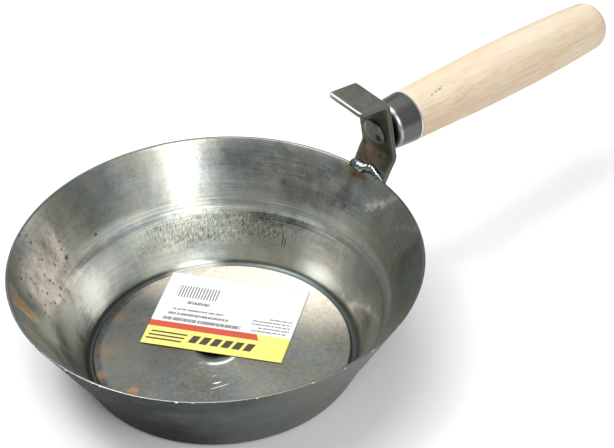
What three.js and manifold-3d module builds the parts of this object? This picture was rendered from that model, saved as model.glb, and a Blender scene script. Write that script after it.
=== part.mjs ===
// Plasterer's ladle: a pressed sheet-steel bowl, a bent steel lug welded to its rim, and a ferruled
// wooden handle held to the lug by a headed tang.
// Units are millimetres. +Z is up, +X runs from the bowl's axis towards the handle. The origin is on
// the plane that the bowl stands on, straight below the middle of its rim.
import * as THREE from "three";
import { mergeVertices } from "three/addons/utils/BufferGeometryUtils.js";
import Module from "manifold-3d";

const wasm = await Module();
wasm.setup();

// ---- driving dimensions ----

const FIT_GAP = 0.3; // clearance between pieces that touch
const deg = THREE.MathUtils.degToRad;

// The bowl's outer face, in radius and height.
const SHEET = 1.2;
const RIM_RADIUS = 100;
const BOWL_HEIGHT = 58;
const SHOULDER_TOP = new THREE.Vector2(82.0, 26.9);
const SHOULDER_FOOT = new THREE.Vector2(80.1, 24.8);
const FOOT_RADIUS = 67.3; // where the lower wall would meet the ground
const FOOT_FILLET = 5.4;
const RING_WIDTH = 0.9; // flat of the ring that the bowl stands on
const FLOOR_RISE = 1.3; // underside of the floor above the ground
const FLOOR_STEP = 0.8; // width of the step from the ring up to the floor
const DIMPLE_RADIUS = 10.6;
const DIMPLE_FLAT = 6.2;
const DIMPLE_OFFSET = new THREE.Vector2(-2.6, 2.0);
const DIMPLE_REACH = 24; // floor beyond this radius is not shifted with the dimple
const BOWL_SEGMENTS = 80;

// The lug's face on the bowl side, in X and Z, from its foot outside the wall to its tongue's tip.
const LUG_THICKNESS = 2.5;
const LUG_WIDTH = 23;
const LUG_SIDE = 1.3; // it sits this far to +Y of the handle's line
const LUG_LAP = 14; // length that lies against the wall below the rim
const LUG_KNEE = new THREE.Vector2(106.9, 68.0);
const LUG_HEIGHT = 36.3; // from the knee to the fold
const LUG_LEAN = deg(10); // towards the bowl
const LUG_TWIST = deg(4); // the hand-bent upper part is turned this much about +X
const TONGUE_LENGTH = 17.8;
const TONGUE_RISE = deg(8.7);
const TONGUE_CORNER = 1.4;
const KNEE_RADIUS = 4;
const FOLD_RADIUS = 2;

// The handle's axis runs down from the lug. Lengths along it start at the ferrule's front.
const FERRULE_FRONT = new THREE.Vector3(109.65, 0, 80.65);
const HANDLE_DROOP = deg(2.95);
const FERRULE_LENGTH = 15.05;
const FERRULE_FRONT_RADIUS = 12.3;
const FERRULE_RADIUS = 13.3; // at its rear
const FERRULE_WALL = 1.0;
const FERRULE_CORNER = 3.0;
const HANDLE_END = 155.45;
const HANDLE_NOSE = 145.65; // where the rounded end starts
const HANDLE_RADII = [13.2, 13.85, 14.55, 14.65, 14.13, 12.86]; // evenly spaced, ferrule to nose
const ROUND_SEGMENTS = 36;

const TANG_RADIUS = 3.8;
const TANG_END = 66.45;
const TANG_POINT = 9;
const TANG_HEAD_RADIUS = 7.0;
const TANG_HEAD_HEIGHT = 2.2;

const LABEL_LENGTH = 72.4;
const LABEL_WIDTH = 55.7;
const LABEL_THICKNESS = 0.15;
const LABEL_CENTRE = new THREE.Vector2(16.0, 16.2);
const LABEL_TURN = deg(-56);

// ---- geometry helpers ----

// A polyline through the corners, each inner corner replaced by an arc of its own radius.
function roundedPath(corners, radii, steps) {
  const path = [corners[0]];
  for (let i = 1; i < corners.length - 1; i++) {
    const back = corners[i - 1].clone().sub(corners[i]).normalize();
    const ahead = corners[i + 1].clone().sub(corners[i]).normalize();
    const half = Math.acos(back.dot(ahead)) / 2;
    const centre = back.clone().add(ahead).setLength(radii[i - 1] / Math.sin(half)).add(corners[i]);
    const reach = radii[i - 1] / Math.tan(half);
    const first = corners[i].clone().addScaledVector(back, reach).sub(centre);
    const sweep = Math.PI - 2 * half;
    const turn = Math.sign(ahead.cross(back)) * sweep;
    for (let k = 0; k <= steps; k++) {
      path.push(first.clone().rotateAround(new THREE.Vector2(), (turn * k) / steps).add(centre));
    }
  }
  path.push(corners.at(-1));
  return path;
}

// The same polyline moved sideways, to the left of its direction, keeping its corners sharp.
function offsetPath(path, distance) {
  return path.map((point, i) => {
    const before = point.clone().sub(path[Math.max(i - 1, 0)]);
    const after = path[Math.min(i + 1, path.length - 1)].clone().sub(point);
    const a = (i > 0 ? before : after).clone().normalize();
    const b = (i < path.length - 1 ? after : before).clone().normalize();
    const normal = new THREE.Vector2(-a.y - b.y, a.x + b.x).normalize();
    return normal.multiplyScalar(distance / normal.dot(new THREE.Vector2(-a.y, a.x))).add(point);
  });
}

// A polyline with extra points, none further apart than the step.
function subdividedPath(path, step) {
  return path.flatMap((point, i) => {
    if (i === 0) return [point];
    const count = Math.ceil(point.distanceTo(path[i - 1]) / step);
    return Array.from({ length: count }, (_, k) => path[i - 1].clone().lerp(point, (k + 1) / count));
  });
}

// A closed body through a row of sections, each a ring of as many 3-D points.
function loft(sections) {
  const sides = sections[0].length;
  const points = sections.flat();
  const faces = [];
  for (let i = 0; i < sections.length - 1; i++) {
    for (let j = 0; j < sides; j++) {
      const a = i * sides + j;
      const b = i * sides + ((j + 1) % sides);
      faces.push(a, b, b + sides, a, b + sides, a + sides);
    }
  }
  const last = (sections.length - 1) * sides;
  for (let j = 1; j < sides - 1; j++) {
    faces.push(0, j + 1, j, last, last + j, last + j + 1);
  }
  return new THREE.BufferGeometry().setFromPoints(points).setIndex(faces);
}

// A solid of revolution about +Z whose outline is a list of radius and height pairs.
function turned(outline, segments) {
  return new THREE.LatheGeometry(outline, segments).rotateX(Math.PI / 2);
}

function solid(geometry) {
  const bare = geometry.clone();
  bare.deleteAttribute("normal");
  bare.deleteAttribute("uv");
  const merged = mergeVertices(bare, 1e-4);
  return new wasm.Manifold(
    new wasm.Mesh({
      numProp: 3,
      vertProperties: new Float32Array(merged.attributes.position.array),
      triVerts: new Uint32Array(merged.index.array),
    }),
  );
}

function geometryOf(body) {
  const mesh = body.getMesh();
  const geometry = new THREE.BufferGeometry();
  geometry.setAttribute("position", new THREE.BufferAttribute(new Float32Array(mesh.vertProperties), 3));
  geometry.setIndex(new THREE.BufferAttribute(new Uint32Array(mesh.triVerts), 1));
  geometry.computeVertexNormals();
  return geometry;
}

function piece(name, geometry, colour, roughness, metalness) {
  const material = new THREE.MeshStandardMaterial({ color: colour, roughness, metalness });
  const mesh = new THREE.Mesh(geometry, material);
  mesh.name = name;
  return mesh;
}

// Turns a body that was made along +Z so that it lies along the handle's axis, from its front.
function alongHandle(geometry) {
  geometry.rotateY(Math.PI / 2 + HANDLE_DROOP);
  return geometry.translate(FERRULE_FRONT.x, FERRULE_FRONT.y, FERRULE_FRONT.z);
}

// ---- bowl ----

// The outer face from the middle of the dimple's underside out to the rim.
function bowlOuterFace() {
  const wall = SHOULDER_FOOT.clone().sub(new THREE.Vector2(FOOT_RADIUS, 0)).normalize();
  const slope = Math.asin(wall.x);
  const reach = FOOT_FILLET * Math.tan((Math.PI / 2 - slope) / 2);
  const ringOuter = FOOT_RADIUS - reach;
  const ringInner = ringOuter - RING_WIDTH;
  const foot = [new THREE.Vector2(ringInner, 0), new THREE.Vector2(FOOT_RADIUS, 0), SHOULDER_FOOT];
  return [
    new THREE.Vector2(0, 0),
    new THREE.Vector2(DIMPLE_FLAT, 0),
    new THREE.Vector2((DIMPLE_FLAT + DIMPLE_RADIUS) / 2, FLOOR_RISE * 0.4),
    new THREE.Vector2(DIMPLE_RADIUS, FLOOR_RISE),
    new THREE.Vector2(DIMPLE_REACH, FLOOR_RISE),
    new THREE.Vector2(ringInner - FLOOR_STEP, FLOOR_RISE),
    ...roundedPath(foot, [FOOT_FILLET], 5),
    SHOULDER_TOP,
    new THREE.Vector2(RIM_RADIUS, BOWL_HEIGHT),
  ];
}

// Moves the dimple sideways within the flat floor.
function shiftDimple(geometry) {
  const position = geometry.attributes.position;
  for (let i = 0; i < position.count; i++) {
    const radius = Math.hypot(position.getX(i), position.getY(i));
    const share = 1 - THREE.MathUtils.smoothstep(radius, DIMPLE_RADIUS, DIMPLE_REACH);
    position.setX(i, position.getX(i) + DIMPLE_OFFSET.x * share);
    position.setY(i, position.getY(i) + DIMPLE_OFFSET.y * share);
  }
  return geometry;
}

function bowlGeometry() {
  const outer = bowlOuterFace();
  const inner = offsetPath(outer, SHEET);
  inner[0].x = 0;
  // The rim is trimmed level, so the inner face ends at the bowl's own height.
  const flare = inner.at(-1).clone().sub(inner.at(-2));
  inner.at(-1).addScaledVector(flare, (BOWL_HEIGHT - inner.at(-1).y) / flare.y);
  return shiftDimple(turned([...outer, ...inner.reverse()], BOWL_SEGMENTS));
}

// ---- lug ----

function flareDirection() {
  return new THREE.Vector2(RIM_RADIUS, BOWL_HEIGHT).sub(SHOULDER_TOP).normalize();
}

// The lug's bowl-side face in X and Z, rounded at its knee and its fold.
function lugPath() {
  const up = flareDirection();
  const clear = new THREE.Vector2(up.y, -up.x).multiplyScalar(FIT_GAP + 0.05);
  const rim = new THREE.Vector2(RIM_RADIUS, BOWL_HEIGHT).add(clear);
  const foot = rim.clone().addScaledVector(up, -LUG_LAP);
  const fold = new THREE.Vector2(-Math.sin(LUG_LEAN), Math.cos(LUG_LEAN));
  fold.multiplyScalar(LUG_HEIGHT).add(LUG_KNEE);
  const tip = new THREE.Vector2(-Math.cos(TONGUE_RISE), Math.sin(TONGUE_RISE));
  tip.multiplyScalar(TONGUE_LENGTH).add(fold);
  return roundedPath([foot, rim, LUG_KNEE, fold, tip], [20, KNEE_RADIUS, FOLD_RADIUS], 4);
}

// A point of the lug, given by its side and by where it is along the flat side view.
function twisted(point, side, height) {
  const turn = LUG_TWIST * THREE.MathUtils.smoothstep(height, BOWL_HEIGHT, LUG_KNEE.y);
  const place = new THREE.Vector3(point.x, side, point.y - LUG_KNEE.y);
  place.applyAxisAngle(new THREE.Vector3(1, 0, 0), turn);
  return place.add(new THREE.Vector3(0, LUG_SIDE, LUG_KNEE.y));
}

// A body that follows the lug, thicker all round by grow.
function lugGeometry(grow) {
  const path = subdividedPath(lugPath(), 5);
  const tip = path.at(-1).clone();
  const along = tip.clone().sub(path.at(-2)).normalize();
  for (const share of [1, 0.6, 0.25]) {
    path.splice(-1, 0, tip.clone().addScaledVector(along, -share * TONGUE_CORNER));
  }
  const near = offsetPath(path, grow);
  const far = offsetPath(path, -LUG_THICKNESS - grow);
  return loft(
    path.map((point, i) => {
      const inset = Math.max(TONGUE_CORNER - point.distanceTo(tip), 0);
      const cut = TONGUE_CORNER - Math.sqrt(TONGUE_CORNER ** 2 - inset ** 2);
      const half = LUG_WIDTH / 2 - cut + grow;
      const corner = (q, side) => twisted(q, side * half, point.y);
      return [corner(near[i], -1), corner(far[i], -1), corner(far[i], 1), corner(near[i], 1)];
    }),
  );
}

function tangHole(radius) {
  const length = 30;
  const bar = new THREE.CylinderGeometry(radius, radius, length, 24).rotateX(Math.PI / 2);
  return solid(alongHandle(bar));
}

// ---- handle, ferrule and tang ----

function ferruleGeometry() {
  const hole = TANG_RADIUS + FIT_GAP;
  const bore = FERRULE_FRONT_RADIUS - FERRULE_WALL;
  const front = [
    new THREE.Vector2(hole, 0),
    new THREE.Vector2(FERRULE_FRONT_RADIUS, 0),
    new THREE.Vector2(FERRULE_RADIUS, FERRULE_LENGTH),
  ];
  const outline = [
    ...roundedPath(front, [FERRULE_CORNER], 5),
    new THREE.Vector2(FERRULE_RADIUS - FERRULE_WALL, FERRULE_LENGTH),
    new THREE.Vector2(bore, FERRULE_WALL + FERRULE_CORNER / 2),
    new THREE.Vector2(bore - FERRULE_CORNER / 2, FERRULE_WALL),
    new THREE.Vector2(hole, FERRULE_WALL),
    new THREE.Vector2(hole, 0),
  ];
  return alongHandle(turned(outline, ROUND_SEGMENTS));
}

function handleGeometry() {
  const hole = TANG_RADIUS + FIT_GAP;
  const spigot = FERRULE_RADIUS - FERRULE_WALL - FIT_GAP;
  const spigotFront = FERRULE_FRONT_RADIUS - FERRULE_WALL - FIT_GAP;
  const chamfer = FERRULE_CORNER / 2;
  const start = FERRULE_LENGTH + FIT_GAP;
  const stations = HANDLE_RADII.map(
    (radius, i) =>
      new THREE.Vector2(radius, THREE.MathUtils.lerp(start, HANDLE_NOSE, i / (HANDLE_RADII.length - 1))),
  );
  const nose = Array.from({ length: 6 }, (_, k) => {
    const turn = (Math.PI / 2) * ((k + 1) / 6);
    const reach = (HANDLE_END - HANDLE_NOSE) * Math.sin(turn);
    return new THREE.Vector2(HANDLE_RADII.at(-1) * Math.cos(turn), HANDLE_NOSE + reach);
  });
  nose.at(-1).x = 0;
  const outline = [
    new THREE.Vector2(0, TANG_END + FIT_GAP),
    new THREE.Vector2(hole, TANG_END - TANG_POINT),
    new THREE.Vector2(hole, FERRULE_WALL + FIT_GAP),
    new THREE.Vector2(spigotFront - chamfer, FERRULE_WALL + FIT_GAP),
    new THREE.Vector2(spigotFront, FERRULE_WALL + FIT_GAP + chamfer),
    new THREE.Vector2(spigot, start),
    ...new THREE.SplineCurve(stations).getPoints(15),
    ...nose,
  ];
  return alongHandle(turned(outline, ROUND_SEGMENTS));
}

// The point where the handle's axis meets the lug's bowl-side face, how far along the axis that is,
// and the way that face looks.
function tangSeat() {
  const axis = new THREE.Vector3(Math.cos(HANDLE_DROOP), 0, -Math.sin(HANDLE_DROOP));
  const facing = new THREE.Vector3(-Math.cos(LUG_LEAN), 0, -Math.sin(LUG_LEAN));
  facing.applyAxisAngle(new THREE.Vector3(1, 0, 0), LUG_TWIST);
  const knee = new THREE.Vector3(LUG_KNEE.x, LUG_SIDE, LUG_KNEE.y);
  const distance = knee.sub(FERRULE_FRONT).dot(facing) / axis.dot(facing);
  return { point: FERRULE_FRONT.clone().addScaledVector(axis, distance), distance, facing };
}

function tangGeometry() {
  const seat = tangSeat();
  const headOutline = [
    new THREE.Vector2(0, FIT_GAP),
    new THREE.Vector2(TANG_HEAD_RADIUS, FIT_GAP),
    new THREE.Vector2(TANG_HEAD_RADIUS, TANG_HEAD_HEIGHT * 0.55),
    new THREE.Vector2(TANG_HEAD_RADIUS * 0.86, TANG_HEAD_HEIGHT * 0.9),
    new THREE.Vector2(TANG_HEAD_RADIUS * 0.6, TANG_HEAD_HEIGHT),
    new THREE.Vector2(0, TANG_HEAD_HEIGHT),
  ];
  const head = turned(headOutline, 24);
  head.applyQuaternion(new THREE.Quaternion().setFromUnitVectors(new THREE.Vector3(0, 0, 1), seat.facing));
  head.translate(seat.point.x, seat.point.y, seat.point.z);
  const shankOutline = [
    new THREE.Vector2(0, seat.distance - TANG_HEAD_HEIGHT * 0.7),
    new THREE.Vector2(TANG_RADIUS, seat.distance - TANG_HEAD_HEIGHT * 0.7),
    new THREE.Vector2(TANG_RADIUS, TANG_END - TANG_POINT),
    new THREE.Vector2(0, TANG_END),
  ];
  const shank = alongHandle(turned(shankOutline, 24));
  return geometryOf(solid(head).add(solid(shank)));
}

// ---- welds ----

// The rim and wall near the lug, thicker all round by the fit gap, for cutting a weld back to it.
function wallClearance() {
  const up = flareDirection();
  const out = new THREE.Vector2(up.y, -up.x);
  const rim = new THREE.Vector2(RIM_RADIUS, BOWL_HEIGHT);
  const low = rim.clone().addScaledVector(up, -2 * LUG_LAP);
  const outline = [
    low.clone().addScaledVector(out, FIT_GAP),
    rim.clone().addScaledVector(out, FIT_GAP).addScaledVector(up, FIT_GAP),
    rim.clone().addScaledVector(out, -SHEET * 1.3 - FIT_GAP).addScaledVector(up, FIT_GAP),
    low.clone().addScaledVector(out, -SHEET - FIT_GAP),
  ];
  return solid(turned([...outline, outline[0].clone()], BOWL_SEGMENTS));
}

// A bead along a list of stations, each with its place, its half height and its half depth.
function bead(stations, sides) {
  const centres = new THREE.CatmullRomCurve3(stations.map((s) => s.place));
  const steps = (stations.length - 1) * 4;
  return loft(
    Array.from({ length: steps + 1 }, (_, i) => {
      const share = i / steps;
      const place = share * (stations.length - 1);
      const k = Math.min(Math.floor(place), stations.length - 2);
      const half = THREE.MathUtils.lerp(stations[k].half, stations[k + 1].half, place - k);
      const centre = centres.getPoint(share);
      return Array.from({ length: sides }, (_, j) => {
        const turn = (2 * Math.PI * j) / sides;
        return new THREE.Vector3(
          centre.x + half * Math.cos(turn),
          centre.y,
          centre.z + half * Math.sin(turn),
        );
      });
    }),
  );
}

function weldGeometry(stations) {
  const body = solid(bead(stations, 10)).subtract(solid(lugGeometry(FIT_GAP))).subtract(wallClearance());
  const parts = body.decompose().sort((a, b) => b.volume() - a.volume());
  return geometryOf(parts[0]);
}

// The visible bead: a fat start at the +Y side of the lug that thins out into a hooked tail.
function rimWeldGeometry() {
  const station = (x, y, z, half) => ({ place: new THREE.Vector3(x, y, z), half });
  return weldGeometry([
    station(99.0, 13.0, 57.8, 0.9),
    station(99.2, 11.0, 58.4, 2.5),
    station(99.3, 7.5, 58.6, 3.0),
    station(99.5, 4.0, 58.7, 2.8),
    station(100.6, 1.0, 59.8, 2.2),
    station(100.9, -1.5, 60.1, 2.1),
    station(100.3, -4.5, 59.4, 2.1),
    station(99.7, -7.8, 58.7, 1.9),
    station(99.2, -10.4, 58.0, 0.8),
  ]);
}

// The bead across the lug's foot, on the outside of the wall.
function footWeldGeometry() {
  const up = flareDirection();
  const foot = new THREE.Vector2(RIM_RADIUS, BOWL_HEIGHT).addScaledVector(up, -LUG_LAP - 0.6);
  const stations = [10, 7, 3.5, 0, -3.5, -7, -10].map((y, i) => ({
    place: new THREE.Vector3(foot.x + 1.0 - (y * y) / (2 * RIM_RADIUS), LUG_SIDE + y, foot.y - 0.5),
    half: Math.abs(y) === 10 ? 0.9 : 1.8 + 0.2 * (i % 2),
  }));
  return weldGeometry(stations);
}

// ---- label ----

function labelGeometry() {
  const floor = FLOOR_RISE + SHEET + FIT_GAP + LABEL_THICKNESS / 2;
  const sheet = new THREE.BoxGeometry(LABEL_LENGTH, LABEL_WIDTH, LABEL_THICKNESS, 4, 3, 1);
  return sheet.rotateZ(LABEL_TURN).translate(LABEL_CENTRE.x, LABEL_CENTRE.y, floor);
}

// ---- assembly ----

const lug = geometryOf(solid(lugGeometry(0)).subtract(tangHole(TANG_RADIUS + FIT_GAP)));

const ladle = new THREE.Group();
ladle.add(
  piece("bowl", bowlGeometry(), 0x8a8c86, 0.42, 1.0),
  piece("lug", lug, 0x55544b, 0.55, 1.0),
  piece("rim_weld", rimWeldGeometry(), 0x9ba3a6, 0.3, 1.0),
  piece("foot_weld", footWeldGeometry(), 0x8b9092, 0.35, 1.0),
  piece("tang", tangGeometry(), 0x5c625f, 0.5, 1.0),
  piece("ferrule", ferruleGeometry(), 0x7d8082, 0.3, 1.0),
  piece("handle", handleGeometry(), 0xe2c79c, 0.6, 0.0),
  piece("label", labelGeometry(), 0xf4f2ea, 0.8, 0.0),
);

export default ladle;
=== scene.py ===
"""Looks of the plasterer's ladle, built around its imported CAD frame.

Pieces and materials are worked out in millimetres; light, camera and floor are in metres.
"""

import math

import bpy
import numpy as np
from mathutils import Matrix, Vector, noise


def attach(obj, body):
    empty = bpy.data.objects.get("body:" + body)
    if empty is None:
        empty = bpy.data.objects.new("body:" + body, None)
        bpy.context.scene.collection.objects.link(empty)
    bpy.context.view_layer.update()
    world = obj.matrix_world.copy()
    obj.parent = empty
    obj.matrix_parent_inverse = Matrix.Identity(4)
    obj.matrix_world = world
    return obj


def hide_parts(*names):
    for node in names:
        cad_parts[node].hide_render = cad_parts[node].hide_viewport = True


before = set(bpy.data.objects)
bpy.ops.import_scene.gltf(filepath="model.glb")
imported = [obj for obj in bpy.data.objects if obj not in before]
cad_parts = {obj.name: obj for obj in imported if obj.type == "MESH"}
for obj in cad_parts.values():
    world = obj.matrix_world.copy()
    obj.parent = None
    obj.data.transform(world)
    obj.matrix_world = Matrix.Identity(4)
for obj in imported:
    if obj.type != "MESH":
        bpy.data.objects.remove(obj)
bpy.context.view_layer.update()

MM = 0.001

# ---- shape, in millimetres ----

RIM_RADIUS = 100.0
BOWL_HEIGHT = 58.0
BOWL_SEGMENTS = 360
HANDLE_SEGMENTS = 128
DIMPLE_OFFSET = (-2.6, 2.0)
DIMPLE_RADIUS = 10.6
DIMPLE_REACH = 24.0

LUG_THICKNESS = 2.5
LUG_WIDTH = 23.0
LUG_SIDE = 1.3
LUG_LAP = 14.0
LUG_KNEE = (106.9, 68.0)
LUG_HEIGHT = 36.3
LUG_LEAN = math.radians(10)
LUG_TWIST = math.radians(4)
TONGUE_LENGTH = 17.8
TONGUE_RISE = math.radians(8.7)
TONGUE_CORNER = 1.4
LUG_EDGE = 0.4

FERRULE_FRONT = Vector((109.65, 0.0, 80.65))
HANDLE_DROOP = math.radians(2.95)
FERRULE_LENGTH = 15.05
FERRULE_FRONT_RADIUS = 12.3
FERRULE_RADIUS = 13.3
FERRULE_WALL = 1.0
HANDLE_NOSE = 145.65
HANDLE_END = 155.41
TANG_END = 66.45
TANG_POINT = 9.0
TANG_RADIUS = 3.8
FIT_GAP = 0.3
HANDLE_RADII = (13.2, 13.85, 14.55, 14.65, 14.13, 12.86)

HANDLE_AXIS = Vector((math.cos(HANDLE_DROOP), 0, -math.sin(HANDLE_DROOP)))
FLARE = Vector((RIM_RADIUS - 82.0, BOWL_HEIGHT - 26.9)).normalized()


# ---- mesh helpers ----


def rounded_path(corners, radii, step=1.0, arc_steps=6):
    """A 2-D polyline through the corners, each inner one replaced by an arc, with no long runs."""
    corners = [Vector(c) for c in corners]
    path = [corners[0]]
    for i in range(1, len(corners) - 1):
        here = corners[i]
        back = (corners[i - 1] - here).normalized()
        ahead = (corners[i + 1] - here).normalized()
        half = math.acos(max(-1.0, min(1.0, back.dot(ahead)))) / 2
        reach = radii[i - 1] / math.tan(half)
        centre = here + (back + ahead).normalized() * (radii[i - 1] / math.sin(half))
        first = here + back * reach - centre
        sweep = math.pi - 2 * half
        sign = 1 if back.x * ahead.y - back.y * ahead.x < 0 else -1
        for k in range(arc_steps + 1):
            turned = Matrix.Rotation(sign * sweep * k / arc_steps, 2) @ first
            path.append(centre + turned)
    path.append(corners[-1])
    fine = [path[0]]
    for a, b in zip(path, path[1:]):
        count = max(1, math.ceil((b - a).length / step))
        fine += [a.lerp(b, (k + 1) / count) for k in range(count)]
    return fine


def linked(name, data):
    """A new object with this data, in the scene."""
    item = bpy.data.objects.new(name, data)
    bpy.context.scene.collection.objects.link(item)
    return item


def new_piece(name, vertices, faces, replaces):
    """A smooth-shaded mesh object, given in millimetres, that rides on the root body."""
    mesh = bpy.data.meshes.new(name)
    mesh.from_pydata([Vector(v) * MM for v in vertices], [], faces)
    mesh.update()
    mesh.polygons.foreach_set("use_smooth", [True] * len(mesh.polygons))
    piece = linked(name, mesh)
    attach(piece, "root")
    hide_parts(replaces)
    return piece


def lathe(outline, segments):
    """Vertices and faces of a turned body. The outline starts and ends on the axis."""
    turns = [2 * math.pi * k / segments for k in range(segments)]
    sections = []
    for radius, height in outline[1:-1]:
        sections.append([(radius * math.cos(turn), radius * math.sin(turn), height) for turn in turns])
    return loft(sections, [(0, 0, outline[0][1]), (0, 0, outline[-1][1])])


def loft(sections, ends=None):
    """Vertices and faces of a body through rings of as many points, with a fan at each end.

    The last two vertices are the middles of the fans.
    """
    sides = len(sections[0])
    vertices = [p for ring in sections for p in ring]
    faces = []
    for i in range(len(sections) - 1):
        for j in range(sides):
            a, b = i * sides + j, i * sides + (j + 1) % sides
            faces.append((a, b, b + sides, a + sides))
    if ends is None:
        ends = [sum((Vector(p) for p in ring), Vector()) / sides for ring in (sections[0], sections[-1])]
    vertices += ends
    first, last = len(vertices) - 2, len(vertices) - 1
    base = (len(sections) - 1) * sides
    for j in range(sides):
        n = (j + 1) % sides
        faces.append((first, n, j))
        faces.append((last, base + j, base + n))
    return vertices, faces


def smoothstep(value, low, high):
    """0 at low, 1 at high, and smooth between them."""
    t = max(0.0, min(1.0, (value - low) / (high - low)))
    return t * t * (3 - 2 * t)


def along_handle(point):
    """Takes a point made along +Z from the ferrule's front to its place on the handle's axis."""
    turn = Matrix.Rotation(math.pi / 2 + HANDLE_DROOP, 3, "Y")
    return turn @ Vector(point) + FERRULE_FRONT


# ---- bowl ----

# Corners of the bowl's outline from the axis to the rim, as radius and height, and the rounding of each.
BOWL_OUTER = ((0, 0), (6.2, 0), (10.6, 1.3), (62.3, 1.3), (63.1, 0), (67.3, 0))
BOWL_OUTER += ((80.1, 24.8), (82.0, 26.9), (100, 58))
BOWL_OUTER_ROUNDING = (3.0, 3.0, 0.4, 0.3, 5.4, 9.0, 13.5)
BOWL_INNER = ((0, 0.7), (4.2, 0.75), (10.3, 2.5), (62.95, 2.5), (63.95, 1.2), (66.5, 1.2))
BOWL_INNER += ((79.0, 25.3), (81.1, 27.6), (98.62, 58))
BOWL_INNER_ROUNDING = (3.0, 1.5, 0.45, 0.6, 3.6, 1.2, 13.0)
BOWL_STEP = 1.6


def bowl_piece():
    """The pressed bowl: turned, then its dimple is pushed off the axis and its wall made to waver."""
    outer = rounded_path(BOWL_OUTER, BOWL_OUTER_ROUNDING, step=BOWL_STEP)
    inner = rounded_path(BOWL_INNER, BOWL_INNER_ROUNDING, step=BOWL_STEP)
    rim = [Vector((100.0, 57.8)), Vector((99.85, 58.0)), Vector((98.8, 58.0)), Vector((98.6, 57.8))]
    outline = outer[:-1] + rim + inner[-2::-1]
    vertices, faces = lathe(outline, BOWL_SEGMENTS)
    moved = []
    for x, y, z in vertices:
        radius = math.hypot(x, y)
        share = 1 - smoothstep(radius, DIMPLE_RADIUS, DIMPLE_REACH)
        x += DIMPLE_OFFSET[0] * share
        y += DIMPLE_OFFSET[1] * share
        if z > 3 and radius > 0:
            # The pressing isn't quite true: the wall wavers by about a tenth of a millimetre.
            wave = noise.noise(Vector((x / 38, y / 38, z / 55))) * 0.16 * smoothstep(z, 3, 12)
            wave *= 1 - smoothstep(z, 50, 57.5)
            x, y = x - wave * x / radius, y - wave * y / radius
        moved.append((x, y, z))
    piece = new_piece("bowl_shell", moved, faces, "bowl")
    outside = (len(outer) - 1) * BOWL_SEGMENTS
    for polygon in piece.data.polygons:
        polygon.material_index = 1 if min(polygon.vertices) < outside else 0
    return piece


# ---- lug ----


def lug_path():
    """The strap's inner side from its foot to the tongue's tip, as radius and height."""
    out = Vector((FLARE.y, -FLARE.x))
    rim = Vector((RIM_RADIUS, BOWL_HEIGHT)) + out * 0.35
    foot = rim - FLARE * LUG_LAP
    knee = Vector(LUG_KNEE)
    fold = knee + Vector((-math.sin(LUG_LEAN), math.cos(LUG_LEAN))) * LUG_HEIGHT
    tip = fold + Vector((-math.cos(TONGUE_RISE), math.sin(TONGUE_RISE))) * TONGUE_LENGTH
    return rounded_path([foot, rim, knee, fold, tip], [20, 4, 2], step=1.0, arc_steps=10)


def twisted(x, side, z, height):
    """A point of the strap, with the twist that it has above the rim."""
    turn = LUG_TWIST * smoothstep(height, BOWL_HEIGHT, LUG_KNEE[1])
    place = Matrix.Rotation(turn, 3, "X") @ Vector((x, side, z - LUG_KNEE[1]))
    return place + Vector((0, LUG_SIDE, LUG_KNEE[1]))


def lug_piece():
    path = lug_path()
    tip = path[-1]
    edge = LUG_EDGE
    # Each ring is a rounded rectangle. Its points run: rounded corner, front, corner, side, corner, back,
    # corner, side. A corner has 4 points, the front and the back 11 each, and a side 2.
    turns = (0, math.pi / 6, math.pi / 3, math.pi / 2)
    corner = [(edge * (1 - math.cos(a)), edge * (1 - math.sin(a))) for a in turns]
    across = [-1 + 2 * k / 12 for k in range(1, 12)]
    sections = []
    count = len(path)
    for i, point in enumerate(path):
        before = path[max(i - 1, 0)]
        after = path[min(i + 1, count - 1)]
        along = (after - before).normalized()
        left = Vector((-along.y, along.x))
        ends = min((point - tip).length, (point - path[0]).length)
        inset = max(TONGUE_CORNER - (point - tip).length, 0)
        cut = TONGUE_CORNER - math.sqrt(TONGUE_CORNER**2 - inset**2)
        half = LUG_WIDTH / 2 - cut
        thin = max(0.0, edge - ends) * 0.7
        front = [(-half + a, b) for a, b in corner]
        front += [(share * (half - edge), 0) for share in across]
        front += [(half - a, b) for a, b in reversed(corner)]
        front += [(half, edge + (LUG_THICKNESS - 2 * edge) * k / 3) for k in (1, 2)]
        back = [(-side, LUG_THICKNESS - depth) for side, depth in front]
        ring = []
        for side, depth in front + back:
            q = point - left * min(max(depth, thin), LUG_THICKNESS - thin)
            ring.append(twisted(q.x, side, q.y, point.y))
        sections.append(ring)
    vertices, faces = loft(sections)
    faces = [tuple(reversed(f)) for f in faces]
    piece = new_piece("lug_strap", vertices, faces, "lug")
    # The edges carry wear and a painted highlight: bright along the top of the tongue's end, hardly at
    # all elsewhere.
    worn = piece.data.attributes.new("worn", "FLOAT", "POINT")
    sides = len(sections[0])
    corner_starts = (0, 15, 21, 36)
    bevel = {first + j for first in corner_starts for j in range(4)}
    upper = range(21, 40)
    for i in range(len(sections) * sides):
        at_end = vertices[i][0] < tip.x + 0.6 and i % sides in upper
        worn.data[i].value = 1.0 if at_end else 0.14 if i % sides in bevel else 0.0
    return piece


# ---- welds ----


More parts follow.
